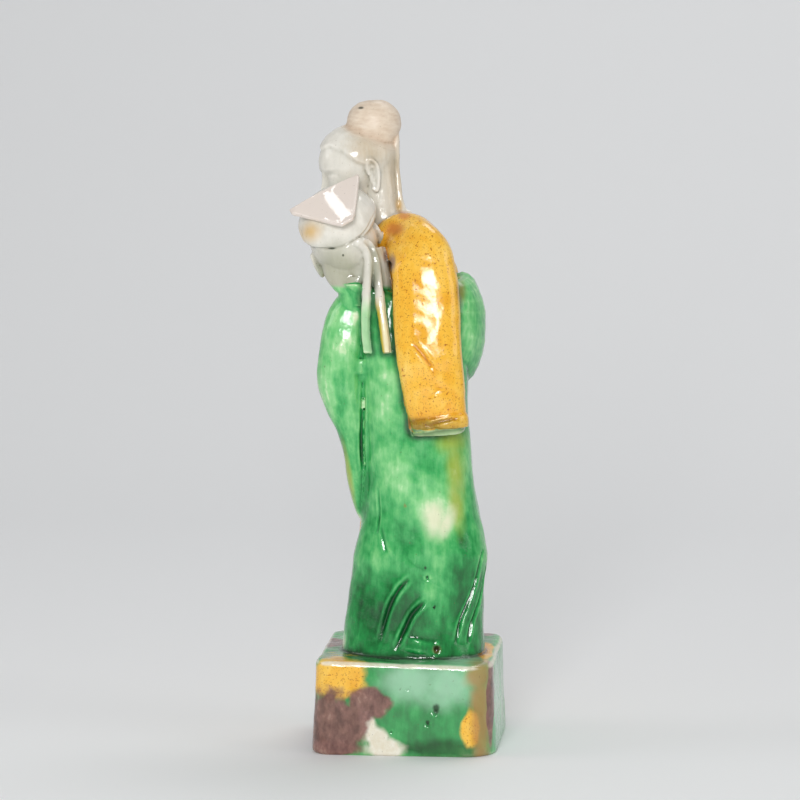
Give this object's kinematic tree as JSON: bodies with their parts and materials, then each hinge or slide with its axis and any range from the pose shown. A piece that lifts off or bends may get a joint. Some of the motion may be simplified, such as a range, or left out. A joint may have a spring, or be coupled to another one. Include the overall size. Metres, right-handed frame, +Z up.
{
  "type": "biscuit porcelain figure group",
  "caption": "Embracing robed figures in green and yellow lead glaze, with a flat-topped hat and a hair bun, fired in one piece with their hollow block plinth as a standing ornament.",
  "frame": {"origin": "on the table, in the middle of the group's outline seen from above", "axes": "+Z up; -Y towards the pictured side, with the hanging yellow sleeve; +X to the right of that view"},
  "size_m": [0.0707, 0.06, 0.2186],
  "materials": {
    "glazed_biscuit": "glossy lead glaze in mottled green, amber yellow and aubergine over cream biscuit, with bare biscuit on the bun and the hat's board"
  },
  "bodies": {
    "root": {"figure_group": "glazed_biscuit"}
  },
  "joints": []
}
